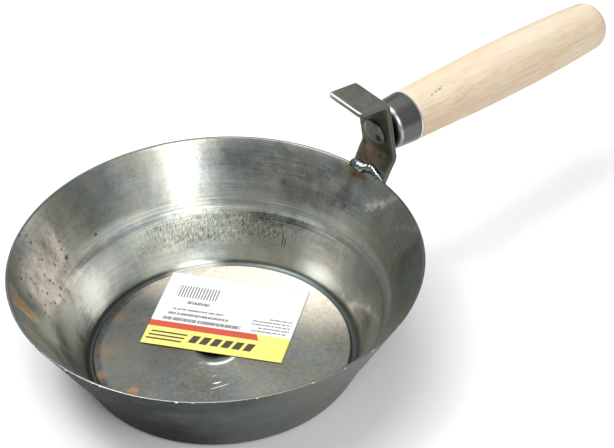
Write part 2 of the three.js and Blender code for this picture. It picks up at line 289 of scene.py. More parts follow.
def bead(stations, sides=28, per=14, seed=0.0):
    """A weld bead along stations of place and half size, with ripples and lumps."""
    sections = []
    steps = (len(stations) - 1) * per
    points = [Vector(s[:3]) for s in stations]
    for i in range(steps + 1):
        place = i / per
        k = min(int(place), len(stations) - 2)
        t = place - k
        p = [points[max(0, min(len(points) - 1, k + d))] for d in (-1, 0, 1, 2)]
        centre = 0.5 * (
            2 * p[1]
            + (p[2] - p[0]) * t
            + (2 * p[0] - 5 * p[1] + 4 * p[2] - p[3]) * t * t
            + (3 * p[1] - p[0] - 3 * p[2] + p[3]) * t**3
        )
        half = stations[k][3] + (stations[k + 1][3] - stations[k][3]) * smoothstep(t, 0, 1)
        ring = []
        for j in range(sides):
            turn = 2 * math.pi * j / sides
            d = Vector((math.cos(turn), 0, math.sin(turn)))
            q = centre + d * half
            lump = 0.07 * noise.noise(q / 3.0 + Vector((seed, 0, 0))) + 0.02 * math.sin(centre.y * 3.0)
            ring.append(centre + d * half * (1 + lump))
        sections.append(ring)
    return loft(sections)


def rim_bead_piece():
    stations = [
        (99.0, 13.0, 57.8, 0.5),
        (99.2, 11.2, 58.5, 2.5),
        (99.3, 7.5, 58.7, 3.1),
        (99.5, 4.0, 58.8, 2.9),
        (100.6, 1.0, 59.8, 2.3),
        (100.9, -1.5, 60.1, 2.2),
        (100.3, -4.5, 59.4, 2.2),
        (99.7, -7.8, 58.7, 2.0),
        (99.2, -10.6, 58.0, 0.5),
    ]
    vertices, faces = bead(stations)
    return new_piece("rim_bead", vertices, faces, "rim_weld")


def foot_bead_piece():
    foot = Vector((RIM_RADIUS, BOWL_HEIGHT)) - FLARE * (LUG_LAP + 0.6)
    stations = []
    for i, y in enumerate((10, 7, 3.5, 0, -3.5, -7, -9.9)):
        half = 0.5 if abs(y) > 9 else 1.5 + 0.2 * (i % 2)
        stations.append((foot.x + 0.9 - y * y / (2 * RIM_RADIUS), LUG_SIDE + y, foot.y - 0.4, half))
    vertices, faces = bead(stations, seed=5.0)
    return new_piece("foot_bead", vertices, faces, "foot_weld")


# ---- tang, ferrule and grip ----


def tang_piece():
    facing = Matrix.Rotation(LUG_TWIST, 3, "X") @ Vector((-math.cos(LUG_LEAN), 0, -math.sin(LUG_LEAN)))
    knee = Vector((LUG_KNEE[0], LUG_SIDE, LUG_KNEE[1]))
    distance = (knee - FERRULE_FRONT).dot(facing) / HANDLE_AXIS.dot(facing)
    seat = FERRULE_FRONT + HANDLE_AXIS * distance
    corners = [(0, 0.05), (7.0, 0.05), (7.0, 1.5), (5.2, 2.1), (0, 2.15)]
    head = rounded_path(corners, [0.3, 0.6, 1.2], step=0.5)
    vertices, faces = lathe(head, 96)
    turn = Vector((0, 0, 1)).rotation_difference(facing).to_matrix()
    placed = []
    for v in vertices:
        v = Vector(v)
        radius = math.hypot(v.x, v.y)
        if radius > 0:
            lump = 0.22 * noise.noise(Vector((v.x / 3.2, v.y / 3.2, 1.7)))
            v.x, v.y = v.x * (1 + lump / 7), v.y * (1 + lump / 7)
        if v.z > 1:
            v.z += 0.18 * noise.noise(Vector((v.x / 2.5, v.y / 2.5, 4.1))) * (1 - radius / 9)
        placed.append(turn @ v + seat)
    start = distance - 0.8
    corners = [(0, start), (TANG_RADIUS, start), (TANG_RADIUS, TANG_END - TANG_POINT), (0, TANG_END)]
    shank = rounded_path(corners, [0.3, 2.0], step=2.0)
    more, more_faces = lathe(shank, 48)
    base = len(placed)
    placed += [along_handle(v) for v in more]
    faces += [tuple(base + i for i in f) for f in more_faces]
    return new_piece("tang_spike", placed, faces, "tang")


def ferrule_piece():
    outline = rounded_path(
        [
            (TANG_RADIUS + FIT_GAP, 0),
            (FERRULE_FRONT_RADIUS, 0),
            (FERRULE_RADIUS, FERRULE_LENGTH),
            (FERRULE_RADIUS - FERRULE_WALL, FERRULE_LENGTH),
            (FERRULE_FRONT_RADIUS - FERRULE_WALL, FERRULE_WALL),
            (TANG_RADIUS + FIT_GAP, FERRULE_WALL),
        ],
        [3.0, 0.4, 0.4, 2.0],
        step=0.6,
        arc_steps=8,
    )
    outline = [Vector((0, 0.5))] + outline + [Vector((0, 0.5))]
    around = HANDLE_SEGMENTS
    vertices, faces = lathe(outline, around)
    # The cap has a hole in front: the fans to the axis go, and the first and last rings are joined.
    count = len(vertices) - 2
    faces = [f for f in faces if max(f) < count]
    last = count - around
    faces += [(last + k, last + (k + 1) % around, (k + 1) % around, k) for k in range(around)]
    placed = [along_handle(v) for v in vertices[:count]]
    return new_piece("ferrule_cap", placed, faces, "ferrule")


def grip_profile(count=90, nose_steps=24):
    """The grip's outline as radius and length: a smooth curve through the listed radii, and the nose."""
    start = FERRULE_LENGTH + FIT_GAP
    listed = np.linspace(start, HANDLE_NOSE, len(HANDLE_RADII))
    curve = np.polyfit(listed, HANDLE_RADII, 4)
    lengths = np.linspace(start, HANDLE_NOSE, count)
    stations = [Vector((float(np.polyval(curve, t)), float(t))) for t in lengths]
    end_radius = stations[-1].x
    nose_length = HANDLE_END - HANDLE_NOSE
    nose = []
    for k in range(1, nose_steps + 1):
        turn = math.pi / 2 * k / nose_steps
        nose.append(Vector((end_radius * math.cos(turn), HANDLE_NOSE + nose_length * math.sin(turn))))
    nose[-1].x = 0
    return stations, nose


def grip_piece():
    stations, nose = grip_profile()
    hole = TANG_RADIUS + FIT_GAP
    spigot = FERRULE_RADIUS - FERRULE_WALL - FIT_GAP
    spigot_front = FERRULE_FRONT_RADIUS - FERRULE_WALL - FIT_GAP
    face = FERRULE_WALL + FIT_GAP
    inner = [
        Vector((0, TANG_END + FIT_GAP)),
        Vector((hole, TANG_END - TANG_POINT)),
        Vector((hole, face)),
        Vector((spigot_front - 1.5, face)),
        Vector((spigot_front, face + 1.5)),
        Vector((spigot, FERRULE_LENGTH + FIT_GAP)),
    ]
    stations[0].x -= 0.25
    vertices, faces = lathe(inner + stations + nose, HANDLE_SEGMENTS)
    placed = []
    for v in vertices:
        v = Vector(v)
        radius = math.hypot(v.x, v.y)
        if radius > 12.5:
            lump = 0.12 * noise.noise(Vector((v.x / 12, v.y / 12, v.z / 45)))
            v.x, v.y = v.x * (1 + lump / radius), v.y * (1 + lump / radius)
        placed.append(along_handle(v))
    return new_piece("grip", placed, faces, "handle")


# ---- label ----

LABEL_SIZE = (72.4, 55.7)
LABEL_THICKNESS = 0.15
LABEL_CENTRE = Vector((16.0, 16.2))
LABEL_TURN = math.radians(-56)
LABEL_BOTTOM = 2.8
SHEET_TO_UV = 100


def label_piece():
    columns, rows = 72, 56
    long_side, short_side = LABEL_SIZE
    turn = Matrix.Rotation(LABEL_TURN, 2)
    vertices, uvs = [], []
    for top in (0, 1):
        for i in range(columns + 1):
            for j in range(rows + 1):
                u = (i / columns - 0.5) * long_side
                v = (j / rows - 0.5) * short_side
                x, y = turn @ Vector((u, v)) + LABEL_CENTRE
                lift = 0.12 * (0.5 + noise.noise(Vector((u / 26, v / 26, 0.3))))
                vertices.append((x, y, LABEL_BOTTOM + lift + top * LABEL_THICKNESS))
                uvs.append((u, v))
    layer = (columns + 1) * (rows + 1)

    def at(top, i, j):
        return top * layer + i * (rows + 1) + j

    faces = []

    def edge(a, b):
        faces.append((at(0, *a), at(0, *b), at(1, *b), at(1, *a)))

    for i in range(columns):
        for j in range(rows):
            faces.append((at(1, i, j), at(1, i + 1, j), at(1, i + 1, j + 1), at(1, i, j + 1)))
            faces.append((at(0, i, j), at(0, i, j + 1), at(0, i + 1, j + 1), at(0, i + 1, j)))
        edge((i, 0), (i + 1, 0))
        edge((i + 1, rows), (i, rows))
    for j in range(rows):
        edge((0, j + 1), (0, j))
        edge((columns, j), (columns, j + 1))
    piece = new_piece("label_sheet", vertices, faces, "label")
    layer_uv = piece.data.uv_layers.new(name="sheet")
    for loop in piece.data.loops:
        u, v = uvs[loop.vertex_index]
        layer_uv.data[loop.index].uv = (u / SHEET_TO_UV + 0.5, v / SHEET_TO_UV + 0.5)
    return piece


# ---- materials ----


class Shade:
    """Builds one procedural material. Places are in millimetres; a value is a socket or a constant."""

    def __init__(self, name):
        self.material = bpy.data.materials.new(name)
        self.material.use_nodes = True
        self.tree = self.material.node_tree
        self.shader = self.tree.nodes["Principled BSDF"]
        self.place = self.vector("SCALE", self.node("TexCoord", "Object"), scale=1 / MM)

    def put(self, socket, value):
        """Links a socket to an input, or sets the input to a constant."""
        if isinstance(value, bpy.types.NodeSocket):
            self.tree.links.new(value, socket)
        elif hasattr(socket.default_value, "__len__") and len(socket.default_value) == 4:
            socket.default_value = (*value, 1.0) if len(value) == 3 else value
        else:
            socket.default_value = value

    def set(self, **values):
        """Sets inputs of the material's own shader by name, and gives the material."""
        for name, value in values.items():
            self.put(self.shader.inputs[name.replace("_", " ").title()], value)
        return self.material

    def node(self, kind, output, inputs=None, **settings):
        """Adds a node with these inputs and settings, and gives one of its outputs."""
        node = self.tree.nodes.new("ShaderNode" + kind)
        for name, value in settings.items():
            setattr(node, name, value)
        for key, value in (inputs or {}).items():
            self.put(node.inputs[key], value)
        return node.outputs[output]

    def math(self, operation, a, b=0.0):
        return self.node("Math", 0, {0: a, 1: b}, operation=operation)

    def add(self, a, b):
        return self.math("ADD", a, b)

    def times(self, a, b):
        return self.math("MULTIPLY", a, b)

    def plus(self, value, other, amount):
        """A value and so much of another one."""
        return self.add(value, self.times(other, amount))

    def larger(self, a, b):
        return self.math("MAXIMUM", a, b)

    def smaller(self, a, b):
        return self.math("MINIMUM", a, b)

    def swing(self, value, amount):
        """A value around a half, turned into one around zero and scaled."""
        return self.times(self.add(value, -0.5), amount)

    def vector(self, operation, a, b=(0, 0, 0), scale=1.0):
        """A vector operation. LENGTH, DISTANCE and DOT_PRODUCT give a value, and the others a vector."""
        output = "Value" if operation in ("LENGTH", "DISTANCE", "DOT_PRODUCT") else "Vector"
        inputs = {0: a, "Scale": scale} if operation == "SCALE" else {0: a, 1: b}
        return self.node("VectorMath", output, inputs, operation=operation)

    def dot(self, a, b):
        return self.vector("DOT_PRODUCT", a, b)

    def split(self, vector):
        return self.node("SeparateXYZ", 0, {0: vector}).node.outputs[:]

    def join(self, x, y, z):
        return self.node("CombineXYZ", 0, {0: x, 1: y, 2: z})

    def remap(self, value, low, high, out_low=0.0, out_high=1.0):
        """Goes smoothly from out_low to out_high while the value goes from low to high.

        Low may be the larger of the two.
        """
        inputs = {0: value, 1: low, 2: high, 3: out_low, 4: out_high}
        return self.node("MapRange", 0, inputs, interpolation_type="SMOOTHSTEP")

    def noise(self, vector, scale, detail, roughness, seed):
        inputs = {"Vector": vector, "W": seed, "Scale": scale, "Detail": detail, "Roughness": roughness}
        return self.node("TexNoise", 0, inputs, noise_dimensions="4D")

    def cloud(self, *settings):
        """Noise over the piece itself."""
        return self.noise(self.place, *settings)

    def cells(self, vector, scale):
        """Distance to the nearest cell point, and that cell's random colour."""
        outputs = self.node("TexVoronoi", 0, {"Vector": vector, "Scale": scale}).node.outputs
        return outputs["Distance"], outputs["Color"]

    def mix(self, share, a, b):
        """The colour a where share is 0, b where it is 1."""
        return self.node("Mix", 2, {0: share, 6: a, 7: b}, data_type="RGBA")

    def paint(self, under, over, share, strength):
        """A colour with another one laid over it."""
        return self.mix(self.times(share, strength), under, over)

    def blend(self, share, a, b):
        """The value a where share is 0, b where it is 1."""
        return self.node("Mix", 0, {0: share, 2: a, 3: b})

    def brighten(self, colour, gain):
        """A colour or a vector times a value."""
        return self.vector("SCALE", colour, scale=gain)

    def band(self, value, low, high, soft):
        """1 between low and high, with soft edges."""
        rise = self.remap(value, low - soft, low + soft)
        return self.times(rise, self.remap(value, high + soft, high - soft))

    def bump(self, height, distance, under=None):
        """Tilts the surface by a height between 0 and 1, where 1 stands this many millimetres high."""
        inputs = {"Strength": 1.0, "Distance": distance * MM, "Height": height}
        if under is not None:
            inputs["Normal"] = under
        return self.node("Bump", 0, inputs)

    def spot(self, place, centre, radius, soft):
        """1 near a point, falling to 0 at the radius over that share of it."""
        return self.remap(self.vector("DISTANCE", place, centre), radius, radius * (1 - soft))

    def drawn_out(self, direction, reach, height):
        """Where to read noise so that it is drawn out round the axis."""
        return self.vector("ADD", self.brighten(direction, reach), self.join(0.0, 0.0, height))

    def round_axis(self):
        """A place on the bowl: x, y, z, the flat part, its length and direction, and the way up."""
        x, y, z = self.split(self.place)
        flat = self.join(x, y, 0.0)
        radius = self.vector("LENGTH", flat)
        return x, y, z, flat, radius, self.vector("NORMALIZE", flat), self.plus(z, radius, 0.5)

    def on_handle(self):
        """A place from the ferrule's front: as a vector, along the handle's axis, and above it."""
        away = self.vector("SUBTRACT", self.place, tuple(FERRULE_FRONT))
        upward = (math.sin(HANDLE_DROOP), 0, math.cos(HANDLE_DROOP))
        length = self.dot(away, tuple(HANDLE_AXIS))
        return away, length, self.dot(away, upward)


# Marks on the inside wall, and painted highlights on the lower wall and its foot. A row holds the heading
# in degrees, the height, half the width in degrees, half the height, and the strength: above 0 is
# brighter, below 0 darker.
WALL_TONES_AND_HIGHLIGHTS = (
    (114, 14, 14, 16, 1.75),
    (115, 25, 12, 4, 0.60),
    (132, 17, 14, 18, 1.50),
    (98, 16, 15, 17, 1.15),
    (86, 22, 12, 9, 0.70),
    (143, 15, 11, 15, 1.10),
    (151, 32, 11, 15, 1.30),
    (140, 29, 22, 6.0, 0.65),
    (92, 30, 24, 5.0, 1.15),
    (135, 8, 2.5, 6, -0.60),
    (119, 44, 7, 15, -0.50),
    (131, 35, 8, 7, 0.40),
    (110, 48, 6, 10, -0.25),
    (84, 46, 9, 14, -0.16),
    (98, 44, 9, 15, -0.24),
    (40, 48, 20, 12, -0.34),
    (18, 38, 22, 12, -0.46),
    (22, 50, 14, 10, -0.32),
    (6, 53, 14, 9, -0.40),
    (4, 43, 9, 9, -0.40),
    (60, 14, 14, 11, -0.40),
    (34, 17, 18, 9, -0.30),
    (30, 24, 24, 5.0, -0.62),
    (4, 20, 12, 9, -0.30),
    (62, 45, 8, 20, 0.40),
    (-35, 42, 7, 20, -0.30),
    (-36, 11, 14, 8, -0.55),
    (-50, 22, 12, 9, 0.15),
    (-32, 30, 34, 3.5, 0.60),
    (4, 6, 17, 7, 1.05),
    (-20, 5, 5, 2.5, 0.6),
    (64, 3.4, 9, 1.6, 1.2),
    (116, 4.5, 18, 3.0, 1.1),
    (20, 31, 55, 2.8, 0.25),
)
# Rubbed lines on the inside wall: heading and height of both ends, half width and strength.
SMEARS = (
    (-5.0, 46.0, -10.0, 51.0, 3.6, 1.15),
    (-9.0, 49.0, -14.0, 57.0, 2.6, 0.85),
    (-21.0, 49.0, -29.0, 56.5, 2.0, 0.45),
    (-20.0, 7.0, -33.0, 15.0, 3.0, 0.80),
    (-31.0, 13.0, -46.0, 22.5, 2.6, 0.55),
    (-12.0, 5.0, -26.0, 4.5, 1.4, 0.60),
    (152.5, 43.0, 153.5, 57.0, 1.6, 0.80),
    (84.0, 29.0, 108.0, 26.5, 1.0, 0.50),
)
# Rust on the inside wall, in rows like those of the marks.
RUST_STAINS = (
    (150.5, 47, 4.4, 13, 1.00),
    (147.0, 54, 2.2, 5, 0.70),
    (164.0, 47, 4.4, 11, 0.85),
    (168.0, 37, 5.0, 8, 0.65),
    (152.0, 19, 2.2, 11, 0.35),
    (92.5, 52, 1.8, 6, 0.25),
    (133.0, 24, 7.0, 2.5, 0.25),
)
# Large pits in the scale: heading, height and size.
PITS = (
    (123.7, 42.4, 0.75),
    (120.4, 35.3, 0.75),
    (114.0, 33.4, 1.10),
    (113.8, 37.6, 0.60),
    (112.7, 40.8, 0.60),
    (127.6, 38.0, 0.65),
    (138.5, 49.5, 0.80),
    (126.8, 31.8, 0.60),
    (141.9, 42.6, 0.80),
    (142.0, 32.1, 0.75),
    (142.4, 29.3, 0.60),
    (138.4, 32.6, 0.60),
    (98.2, 32.3, 0.90),
    (134.2, 36.0, 0.60),
)
# Rust freckles on the bowl's floor: x, y, radius and strength.
FLOOR_RUST = (
    (-51.5, 5.6, 3.4, 0.85),
    (-56.3, 24.9, 4.0, 0.50),
    (-39.0, 15.4, 5.0, 0.30),
    (-24.0, 52.0, 4.0, 0.30),
    (-43.0, 36.0, 5.0, 0.25),
)
# Paler and darker places on the bowl's floor: x, y, radius and strength.
FLOOR_TONES = ((-45, 31, 27, 0.34), (-27, -17, 27, -0.32), (50, -38, 20, -0.22), (-8, 52, 12, -0.15))
# Length of wall, at a middling radius, for one degree of heading.
WALL_PER_DEGREE = 1.35


def bowl_inside():
    s = Shade("bowl_inside_steel")
    x, y, z, flat, radius, heading, along = s.round_axis()
    turn = s.math("DEGREES", s.math("ARCTAN2", y, x))
    arc = s.times(turn, WALL_PER_DEGREE)
    broad = s.cloud(0.028, 3, 0.6, 1.0)
    blotch = s.cloud(0.075, 3, 0.6, 2.0)
    ragged = s.cloud(0.19, 4, 0.68, 12.0)
    mottle = s.cloud(0.45, 4, 0.65, 3.0)
    grain = s.cloud(1.6, 2, 0.6, 4.0)

    def streaks(length, width, detail, seed):
        """Noise drawn out along the circle: about so long, and so wide across."""
        place = s.drawn_out(heading, 90.0 / length, s.times(along, 1.0 / width))
        return s.noise(place, 1.0, detail, 0.6, seed)

    def patch(heading_degrees, height, half_turn, half_height, soft, wobble=0.9):
        """A patch for a stain, a mark or a painted highlight, by its heading, its height and its half
        sizes.
        """
        a = s.times(s.add(turn, -heading_degrees), 1.0 / half_turn)
        b = s.times(s.add(z, -height), 1.0 / half_height)
        away = s.math("SQRT", s.plus(s.times(a, a), b, b))
        away = s.add(away, s.swing(ragged, wobble))
        return s.remap(away, 1.0, 1.0 - soft)

    def smear(from_turn, from_height, to_turn, to_height, half_width):
        """A rubbed line on the wall between two points, each by its heading and height."""
        span = Vector(((to_turn - from_turn) * WALL_PER_DEGREE, to_height - from_height, 0.0))
        here = s.join(s.add(arc, -from_turn * WALL_PER_DEGREE), s.add(z, -from_height), 0.0)
        share = s.times(s.dot(here, tuple(span)), 1.0 / span.length_squared)
        share = s.smaller(s.larger(share, 0.0), 1.0)
        away = s.vector("DISTANCE", here, s.vector("SCALE", tuple(span), scale=share))
        away = s.plus(away, s.add(s.add(mottle, ragged), -1.0), half_width * 2.4)
        return s.remap(away, half_width, -0.4 * half_width)

    floor = s.times(s.remap(z, 4.2, 2.6), s.remap(radius, 64.2, 63.0))
    # Painted shade in the groove at the foot of the wall, left out at the back where the groove catches
    # light.
    groove_shade = s.times(s.remap(z, 3.9, 2.0), s.remap(radius, 63.0, 63.8))
    groove_shade = s.times(groove_shade, s.plus(1.0, s.band(turn, 52.0, 74.0, 5.0), -0.8))
    wall = s.remap(z, 3.0, 5.0)
    fine = streaks(16, 0.4, 2, 5.0)
    long = streaks(55, 1.6, 3, 6.0)
    swayed = s.add(arc, s.swing(blotch, 14.0))
    runs = s.noise(s.join(s.times(swayed, 0.17), s.times(z, 0.045), 0.0), 1.0, 4, 0.6, 8.0)

    # Wall: grey-olive steel, faint turning streaks, upright smears, and the marks and painted highlights
    # above.
    colour = s.mix(s.remap(broad, 0.38, 0.64), (0.390, 0.415, 0.392), (0.420, 0.410, 0.345))
    # A neutral tint over the lower-left wall, under its painted highlight.
    rubbed = patch(112, 16, 34, 22, 0.6)
    colour = s.paint(colour, (0.415, 0.405, 0.400), rubbed, 0.8)
    tone = s.plus(0.76, blotch, 0.44)
    tone = s.add(tone, s.swing(long, s.blend(s.remap(blotch, 0.4, 0.62), 0.25, 0.75)))
    for texture, amount in ((runs, 0.34), (ragged, 0.42), (fine, 0.22), (mottle, 0.30), (grain, 0.50)):
        tone = s.add(tone, s.swing(texture, amount))
    # The listed marks, with the painted highlights among them.
    for *where, strength in WALL_TONES_AND_HIGHLIGHTS:
        tone = s.plus(tone, patch(*where, 0.95, 0.7), strength)
    for *ends, half_width, strength in SMEARS:
        tone = s.plus(tone, smear(*ends, half_width), strength)
    # Fine turning lines follow the shoulder.
    lines = s.times(s.band(z, 22.0, 32.0, 2.0), s.band(turn, 10.0, 130.0, 12.0))
    lines = s.larger(lines, s.times(s.band(z, 5.0, 26.0, 2.0), s.band(turn, 84.0, 138.0, 12.0)))
    tone = s.plus(tone, s.swing(streaks(60, 0.55, 2, 15.0), lines), 2.0)
    # Short slanted scores, where the shoulder was pressed.
    across = s.plus(s.times(arc, 1.7), z, 0.8)
    down = s.plus(s.times(z, 0.38), arc, -0.16)
    scores = s.noise(s.join(across, down, 0.0), 1.0, 2, 0.6, 9.0)
    scored = patch(54, 19.0, 48, 10, 0.5)
    tone = s.plus(tone, s.swing(scores, scored), 3.3)
    # The shoulder's lower edge carries a painted highlight line, with a painted shade line under it.
    reach = s.band(turn, -62.0, 92.0, 12.0)
    tone = s.plus(tone, s.times(s.band(z, 27.35, 27.75, 0.3), reach), 0.50)
    tone = s.plus(tone, s.times(s.band(z, 25.4, 26.3, 0.4), reach), -0.10)
    colour = s.paint(colour, (0.37, 0.38, 0.31), scored, 0.45)
    # A film of pale, pitted scale covers the wall on the far side from the handle.
    scale = s.remap(s.plus(turn, ragged, 9.0), 112.5, 121.0)
    scale = s.times(scale, s.remap(s.plus(turn, ragged, 10.0), 152, 143))
    scale = s.times(scale, s.remap(s.plus(z, ragged, 5.0), 27.0, 35.0))
    scale = s.times(scale, s.remap(s.add(z, s.swing(ragged, 14.0)), 44.0, 57.0, 1.0, 0.12))
    thinned = s.times(s.remap(runs, 0.25, 0.55, 0.55, 1.0), s.remap(ragged, 0.34, 0.56, 0.50, 1.0))
    scale = s.times(scale, thinned)
    lower = s.times(patch(123, 24, 13, 9, 0.5, 1.8), s.remap(runs, 0.40, 0.62, 0.1, 0.8))
    scale = s.larger(scale, lower)
    colour = s.paint(colour, (0.78, 0.68, 0.57), scale, 0.8)
    rust = 0.0
    for *where, strength in RUST_STAINS:
        rust = s.larger(rust, s.times(patch(*where, 0.7, 1.3), strength))
    colour = s.mix(rust, colour, (0.42, 0.260, 0.105))
    heat = patch(6.0, 56.5, 5.6, 4.2, 0.5, 0.6)
    colour = s.paint(colour, (0.44, 0.42, 0.26), heat, 0.65)
    burn = patch(3.6, 55.6, 5.0, 2.5, 0.6, 0.8)
    colour = s.paint(colour, (0.34, 0.20, 0.095), burn, 0.80)
    crater = patch(13.5, 51.5, 1.5, 1.4, 0.8, 0.8)
    colour = s.paint(colour, (0.26, 0.22, 0.13), crater, 0.5)
    tone = s.smaller(s.larger(tone, 0.2), 2.35)
    tone = s.times(tone, s.remap(z, 57.6, 57.9, 1.0, 0.55))
    tone = s.blend(scale, tone, s.smaller(tone, 1.15))
    colour = s.brighten(colour, tone)
    # Pits in the scale, large and small, and two scratches.
    specks, speck_tint = s.cells(s.join(s.times(arc, 0.30), s.times(z, 0.30), 0.0), 1.0)
    small = s.times(s.remap(specks, 0.30, 0.16), s.remap(s.split(speck_tint)[0], 0.45, 0.50))
    pits = s.times(small, patch(130, 40, 22, 22, 0.5))
    for at, height, size in PITS:
        pits = s.larger(pits, patch(at, height, size * 1.1, size * 1.3, 0.7, 0.7))
    for at, height, half_height in ((24.7, 15.0, 6.0), (23.5, 14.0, 4.5)):
        pits = s.larger(pits, s.times(patch(at, height, 0.65, half_height, 0.6, 0.6), 0.95))
    colour = s.paint(colour, (0.10, 0.075, 0.05), pits, 0.85)

    # Floor: mottled and rust-freckled, with a painted sheen of reflected light towards the handle side.
    sheen = s.remap(s.plus(s.plus(s.times(x, 0.80), y, 0.46), ragged, 6.0), 16.0, 54.0)
    floor_colour = s.mix(s.remap(blotch, 0.38, 0.62), (0.185, 0.198, 0.190), (0.205, 0.198, 0.168))
    # Painted shade on the floor's side away from the handle, and painted light towards it.
    far_side_shade = s.remap(s.plus(s.times(x, 0.9), y, -0.2), 10.0, -22.0)
    floor_colour = s.brighten(floor_colour, s.blend(far_side_shade, 1.25, 0.74))
    floor_colour = s.mix(sheen, floor_colour, (0.66, 0.58, 0.495))
    floor_gain = s.add(0.13, s.plus(s.times(mottle, 0.80), grain, 1.10))
    for at_x, at_y, size, strength in FLOOR_TONES:
        floor_gain = s.plus(floor_gain, s.spot(flat, (at_x, at_y, 0.0), size, 0.8), strength)
    ring = s.times(s.band(radius, 60.0, 64.5, 1.2), s.band(turn, 95.0, 172.0, 12.0))
    floor_gain = s.plus(floor_gain, ring, s.plus(-0.95, mottle, 0.8))
    floor_colour = s.brighten(floor_colour, s.larger(floor_gain, 0.1))
    freckles = s.times(s.remap(s.cloud(0.33, 3, 0.6, 14.0), 0.60, 0.74), 0.35)
    wobble = s.add(s.swing(mottle, 6.0), s.swing(ragged, 9.0))
    for at_x, at_y, size, strength in FLOOR_RUST:
        away = s.add(s.vector("DISTANCE", flat, (at_x, at_y, 0.0)), wobble)
        freckles = s.larger(freckles, s.times(s.remap(away, size, size * 0.3), strength))
    floor_colour = s.paint(floor_colour, (0.36, 0.19, 0.085), freckles, s.remap(x, 25.0, -15.0))
    # Bright arcs beside the dimple, as if a tool had slipped round it, and a painted highlight on the
    # dimple's near lip.
    centre = (DIMPLE_OFFSET[0] - 4.0, DIMPLE_OFFSET[1] + 6.0, 0.0)
    from_centre = s.vector("SUBTRACT", flat, centre)
    ring_height = s.times(s.vector("LENGTH", from_centre), 0.85)
    arcs = s.noise(s.drawn_out(s.vector("NORMALIZE", from_centre), 2.2, ring_height), 1.0, 1, 0.5, 2.6)
    near = s.spot(flat, (-16.0, -13.0, 0.0), 16.0, 0.7)
    slips_and_highlight = s.times(s.remap(arcs, 0.66, 0.71), near)
    crescent_highlight = s.band(s.vector("DISTANCE", flat, (*DIMPLE_OFFSET, 0.0)), 11.2, 12.6, 0.6)
    crescent_highlight = s.times(crescent_highlight, s.remap(s.dot(heading, (-0.55, -0.83, 0.0)), 0.70, 0.92))
    slips_and_highlight = s.larger(slips_and_highlight, crescent_highlight)
    floor_colour = s.paint(floor_colour, (0.90, 0.91, 0.92), slips_and_highlight, 0.8)
    # The dimple is painted dark and bluish: painted shade in its hollow.
    dimple = s.times(s.remap(z, 2.2, 1.1), s.remap(radius, 14.0, 11.0))
    floor_colour = s.paint(floor_colour, (0.045, 0.060, 0.078), dimple, 0.8)
    colour = s.mix(floor, colour, floor_colour)
    colour = s.paint(colour, (0.040, 0.050, 0.050), groove_shade, 0.9)

    metal = s.blend(s.larger(s.times(rust, 0.7), s.times(scale, 0.80)), 1.0, 0.25)
    metal = s.blend(s.times(floor, s.times(freckles, 0.6)), metal, 0.3)
    rough = s.add(0.22, s.plus(s.times(long, 0.10), blotch, 0.12))
    rough = s.plus(rough, s.larger(scale, scored), 0.10)
    rough = s.blend(floor, rough, s.plus(0.36, mottle, 0.16))
    s.set(base_color=colour, metallic=metal, roughness=rough, anisotropic=0.55, anisotropic_rotation=0.25)
    height = s.plus(s.times(fine, 0.35), long, 0.35)
    height = s.plus(height, s.times(scores, scored), 1.3)
    normal = s.bump(s.times(height, wall), 0.03)
    normal = s.bump(s.times(s.add(blotch, ragged), wall), 0.10, under=normal)
    normal = s.bump(s.times(s.plus(mottle, grain, 0.8), wall), 0.022, under=normal)
    normal = s.bump(s.times(pits, -1.0), 0.08, under=normal)
    normal = s.bump(s.times(s.plus(mottle, grain, 0.5), floor), 0.035, under=normal)
    return s.set(normal=normal, tangent=s.node("Tangent", 0, direction_type="RADIAL", axis="Z"))


def bowl_outside():
    s = Shade("bowl_outside_steel")
    _, _, z, _, _, heading, along = s.round_axis()
    long = s.noise(s.drawn_out(heading, 2.2, s.times(along, 0.5)), 1.0, 3, 0.6, 7.0)
    broad = s.cloud(0.020, 2, 0.5, 6.0)
    blotch = s.cloud(0.06, 4, 0.62, 8.0)
    grain = s.cloud(0.9, 3, 0.6, 9.0)
    colour = s.mix(s.remap(blotch, 0.35, 0.65), (0.150, 0.170, 0.158), (0.180, 0.178, 0.155))
    # Mill scale and painted shade darken it towards the side away from the handle.
    uneven = s.add(s.swing(broad, 0.6), s.swing(blotch, 0.6))
    turned_away = s.dot(heading, (-1.0, -0.03, 0.0))
    scale = s.remap(s.add(turned_away, uneven), 0.12, 1.0)
    colour = s.paint(colour, (0.014, 0.018, 0.016), scale, 0.95)
    gain = s.times(s.plus(0.70, long, 0.60), s.plus(0.84, grain, 0.32))
    rust = s.times(s.remap(s.cloud(0.14, 4, 0.65, 10.0), 0.60, 0.76), 0.5)
    colour = s.mix(rust, colour, (0.16, 0.095, 0.05))
    nicks = s.times(s.remap(s.cloud(0.55, 2, 0.5, 11.0), 0.60, 0.66), s.remap(z, 57.0, 57.5))
    colour = s.mix(nicks, s.brighten(colour, gain), (0.95, 0.95, 0.93))
    metal = s.blend(rust, s.blend(scale, 1.0, 0.12), 0.4)
    s.set(base_color=colour, metallic=metal)
    s.shader.inputs["Specular IOR Level"].default_value = 0.02
    s.set(roughness=s.plus(0.36, blotch, 0.18))
    return s.set(normal=s.bump(s.add(s.times(long, 0.7), s.plus(s.times(blotch, 1.4), grain, 0.3)), 0.07))


# Dark specks on top of the grip: along it, sideways, above its axis, and size.
GRIP_SPECKS = ((32, -6.3, 12, 1.0), (29.2, -6.6, 11.9, 0.8), (26.2, -7, 11.6, 0.7), (34, -5.6, 12.4, 0.6))
SPECK_STRETCH = 0.55


